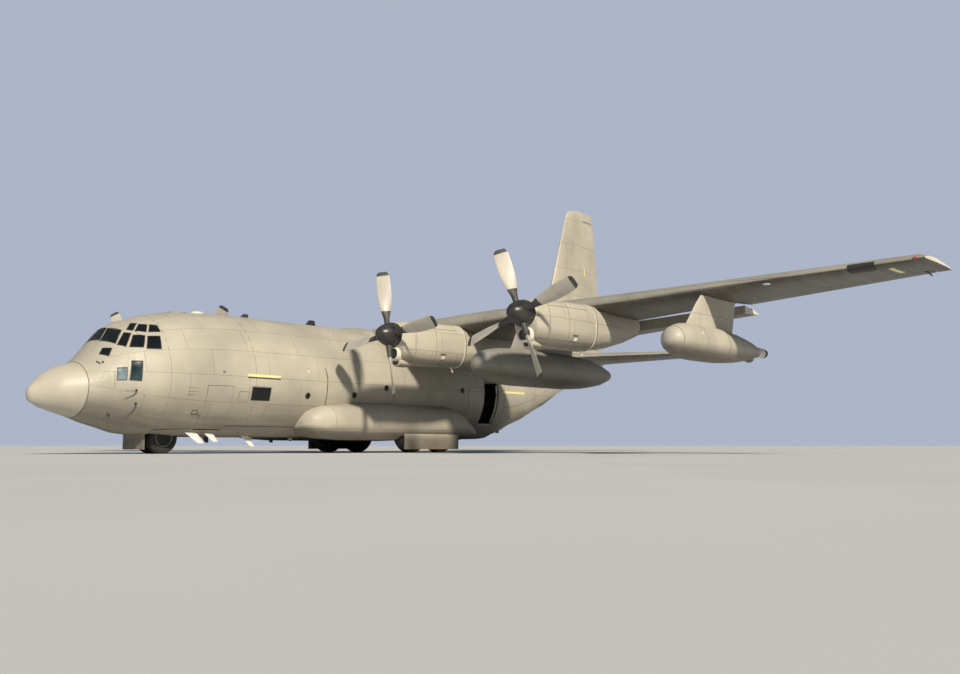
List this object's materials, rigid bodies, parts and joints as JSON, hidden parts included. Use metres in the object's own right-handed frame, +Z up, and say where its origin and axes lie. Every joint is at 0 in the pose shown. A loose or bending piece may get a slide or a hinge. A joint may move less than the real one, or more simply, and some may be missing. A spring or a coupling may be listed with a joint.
{
  "type": "four-engine turboprop transport aircraft, 1:2 scale model",
  "caption": "High-wing transport aircraft with turboprops, underwing tanks and pods, tail loading ramp, hinged controls, sliding flaps and wheeled undercarriage.",
  "frame": {"origin": "on the ground below the middle of the length, on the centre plane", "axes": "+X to the aircraft's port side, +Y aft, +Z up"},
  "size_m": [20.2, 14.895, 5.83],
  "materials": {
    "fuselage_paint": "satin light grey paint",
    "wing_skin": "satin light grey paint over aluminium",
    "store_skin": "satin light grey paint over aluminium",
    "cowl_paint": "satin light grey paint",
    "engine_metal": "bare metal",
    "propeller_finish": "dark grey spinner, pale blades",
    "radome_finish": "satin light grey",
    "interior_paint": "matte grey-green",
    "cockpit_glass": "clear over a dark cabin",
    "gear_steel": "satin",
    "tyre_rubber": "matte black"
  },
  "bodies": {
    "airframe": {"radome": "radome_finish", "nose_shell": "fuselage_paint", "centre_shell": "fuselage_paint", "aft_shell": "fuselage_paint", "cargo_floor": "interior_paint", "flight_deck": "interior_paint", "hold_bulkhead": "interior_paint", "cockpit_glazing": "cockpit_glass", "centre_wing": "wing_skin", "paratroop_door_port": "fuselage_paint", "outer_wing_port": "wing_skin", "external_tank_port": "store_skin", "refuelling_pod_port": "store_skin", "sponson_port": "fuselage_paint", "main_gear_legs_port": "gear_steel", "main_gear_door_port": "fuselage_paint", "paratroop_door_starboard": "fuselage_paint", "outer_wing_starboard": "wing_skin", "external_tank_starboard": "store_skin", "refuelling_pod_starboard": "store_skin", "sponson_starboard": "fuselage_paint", "main_gear_legs_starboard": "gear_steel", "main_gear_door_starboard": "fuselage_paint", "nacelle_port_outer": "cowl_paint", "engine_port_outer": "engine_metal", "nacelle_port_inner": "cowl_paint", "engine_port_inner": "engine_metal", "nacelle_starboard_inner": "cowl_paint", "engine_starboard_inner": "engine_metal", "nacelle_starboard_outer": "cowl_paint", "engine_starboard_outer": "engine_metal", "fin": "wing_skin", "tailplane": "wing_skin", "nose_leg": "gear_steel", "nose_gear_door": "fuselage_paint"},
    "nose_fork": {"nose_fork": "gear_steel"},
    "nose_wheels": {"nose_wheels": "tyre_rubber"},
    "ramp": {"ramp": "interior_paint"},
    "aft_cargo_door": {"aft_cargo_door": "fuselage_paint"},
    "crew_door": {"crew_door": "fuselage_paint"},
    "rudder": {"rudder": "wing_skin"},
    "propeller_port_outer": {"propeller_port_outer": "propeller_finish"},
    "propeller_port_inner": {"propeller_port_inner": "propeller_finish"},
    "propeller_starboard_inner": {"propeller_starboard_inner": "propeller_finish"},
    "propeller_starboard_outer": {"propeller_starboard_outer": "propeller_finish"},
    "main_wheel_port_front": {"main_wheel_port_front": "tyre_rubber"},
    "main_wheel_port_rear": {"main_wheel_port_rear": "tyre_rubber"},
    "main_wheel_starboard_front": {"main_wheel_starboard_front": "tyre_rubber"},
    "main_wheel_starboard_rear": {"main_wheel_starboard_rear": "tyre_rubber"},
    "elevator_port": {"elevator_port": "wing_skin"},
    "aileron_port": {"aileron_port": "wing_skin"},
    "inner_flap_port": {"inner_flap_port": "wing_skin"},
    "outer_flap_port": {"outer_flap_port": "wing_skin"},
    "air_deflector_port": {"air_deflector_port": "fuselage_paint"},
    "elevator_starboard": {"elevator_starboard": "wing_skin"},
    "aileron_starboard": {"aileron_starboard": "wing_skin"},
    "inner_flap_starboard": {"inner_flap_starboard": "wing_skin"},
    "outer_flap_starboard": {"outer_flap_starboard": "wing_skin"},
    "air_deflector_starboard": {"air_deflector_starboard": "fuselage_paint"}
  },
  "joints": [
    {"name": "propeller_port_outer_spin", "type": "hinge", "parent": "airframe", "child": "propeller_port_outer", "pos_m": [5.08, -2.8475, 2.01], "axis": [0, -1, 0], "continuous": true},
    {"name": "propeller_port_inner_spin", "type": "hinge", "parent": "airframe", "child": "propeller_port_inner", "pos_m": [2.45, -2.8475, 1.88], "axis": [0, -1, 0], "continuous": true},
    {"name": "propeller_starboard_inner_spin", "type": "hinge", "parent": "airframe", "child": "propeller_starboard_inner", "pos_m": [-2.45, -2.8475, 1.88], "axis": [0, -1, 0], "continuous": true},
    {"name": "propeller_starboard_outer_spin", "type": "hinge", "parent": "airframe", "child": "propeller_starboard_outer", "pos_m": [-5.08, -2.8475, 2.01], "axis": [0, -1, 0], "continuous": true},
    {"name": "main_wheel_port_front_roll", "type": "hinge", "parent": "airframe", "child": "main_wheel_port_front", "pos_m": [1.0875, -0.8825, 0.355], "axis": [1, 0, 0], "continuous": true},
    {"name": "main_wheel_port_rear_roll", "type": "hinge", "parent": "airframe", "child": "main_wheel_port_rear", "pos_m": [1.0875, -0.1225, 0.355], "axis": [1, 0, 0], "continuous": true},
    {"name": "main_wheel_starboard_front_roll", "type": "hinge", "parent": "airframe", "child": "main_wheel_starboard_front", "pos_m": [-1.0875, -0.8825, 0.355], "axis": [1, 0, 0], "continuous": true},
    {"name": "main_wheel_starboard_rear_roll", "type": "hinge", "parent": "airframe", "child": "main_wheel_starboard_rear", "pos_m": [-1.0875, -0.1225, 0.355], "axis": [1, 0, 0], "continuous": true},
    {"name": "nose_steering", "type": "hinge", "parent": "airframe", "child": "nose_fork", "pos_m": [0, -5.3925, 0.65], "axis": [0, 0, 1], "range_deg": [-60, 60]},
    {"name": "nose_wheel_roll", "type": "hinge", "parent": "nose_fork", "child": "nose_wheels", "pos_m": [0, -5.3925, 0.2475], "axis": [1, 0, 0], "continuous": true},
    {"name": "ramp_hinge", "type": "hinge", "parent": "airframe", "child": "ramp", "pos_m": [0, 2.1325, 0.4], "axis": [-1, 0, 0], "range_deg": [0, 38]},
    {"name": "aft_cargo_door_hinge", "type": "hinge", "parent": "airframe", "child": "aft_cargo_door", "pos_m": [0, 5.1275, 1.78], "axis": [-1, 0, 0], "range_deg": [0, 22]},
    {"name": "crew_door_hinge", "type": "hinge", "parent": "airframe", "child": "crew_door", "pos_m": [0.6861, -4.9695, 0.385], "axis": [0.0935, 0.9956, 0], "range_deg": [0, 90]},
    {"name": "rudder_hinge", "type": "hinge", "parent": "airframe", "child": "rudder", "pos_m": [0, 6.4325, 4.04], "axis": [0, -0.0448, 0.999], "range_deg": [-35, 35]},
    {"name": "elevator_port_hinge", "type": "hinge", "parent": "airframe", "child": "elevator_port", "pos_m": [2.175, 6.2175, 2.125], "axis": [1, 0, 0], "range_deg": [-15, 40]},
    {"name": "elevator_starboard_hinge", "type": "hinge", "parent": "airframe", "child": "elevator_starboard", "pos_m": [-2.175, 6.2175, 2.125], "axis": [1, 0, 0], "range_deg": [-15, 40]},
    {"name": "aileron_port_hinge", "type": "hinge", "parent": "airframe", "child": "aileron_port", "pos_m": [8.495, 0.0188, 2.432], "axis": [0.9957, -0.0796, 0.0472], "range_deg": [-20, 20]},
    {"name": "aileron_starboard_hinge", "type": "hinge", "parent": "airframe", "child": "aileron_starboard", "pos_m": [-8.495, 0.0188, 2.432], "axis": [0.9957, 0.0796, -0.0472], "range_deg": [-20, 20]},
    {"name": "inner_flap_port_slide", "type": "slide", "parent": "airframe", "child": "inner_flap_port", "axis": [0, 0.91, -0.4147], "range_m": [-0.31, 0.12]},
    {"name": "outer_flap_port_slide", "type": "slide", "parent": "airframe", "child": "outer_flap_port", "axis": [0, 0.91, -0.4147], "range_m": [-0.31, 0.12]},
    {"name": "inner_flap_starboard_slide", "type": "slide", "parent": "airframe", "child": "inner_flap_starboard", "axis": [0, 0.91, -0.4147], "range_m": [-0.31, 0.12]},
    {"name": "outer_flap_starboard_slide", "type": "slide", "parent": "airframe", "child": "outer_flap_starboard", "axis": [0, 0.91, -0.4147], "range_m": [-0.31, 0.12]},
    {"name": "air_deflector_port_hinge", "type": "hinge", "parent": "airframe", "child": "air_deflector_port", "pos_m": [1.0374, 0.7925, 0.9156], "axis": [0.2337, 0, 0.9723], "range_deg": [-40, 0]},
    {"name": "air_deflector_starboard_hinge", "type": "hinge", "parent": "airframe", "child": "air_deflector_starboard", "pos_m": [-1.0374, 0.7925, 0.9156], "axis": [-0.2337, 0, 0.9723], "range_deg": [0, 40]}
  ],
  "couplings": [
    {"joint": "elevator_starboard_hinge", "follows": "elevator_port_hinge", "ratio": 1},
    {"joint": "aileron_starboard_hinge", "follows": "aileron_port_hinge", "ratio": -1},
    {"joint": "outer_flap_starboard_slide", "follows": "outer_flap_port_slide", "ratio": 1},
    {"joint": "inner_flap_port_slide", "follows": "outer_flap_port_slide", "ratio": 1},
    {"joint": "inner_flap_starboard_slide", "follows": "outer_flap_port_slide", "ratio": 1}
  ]
}
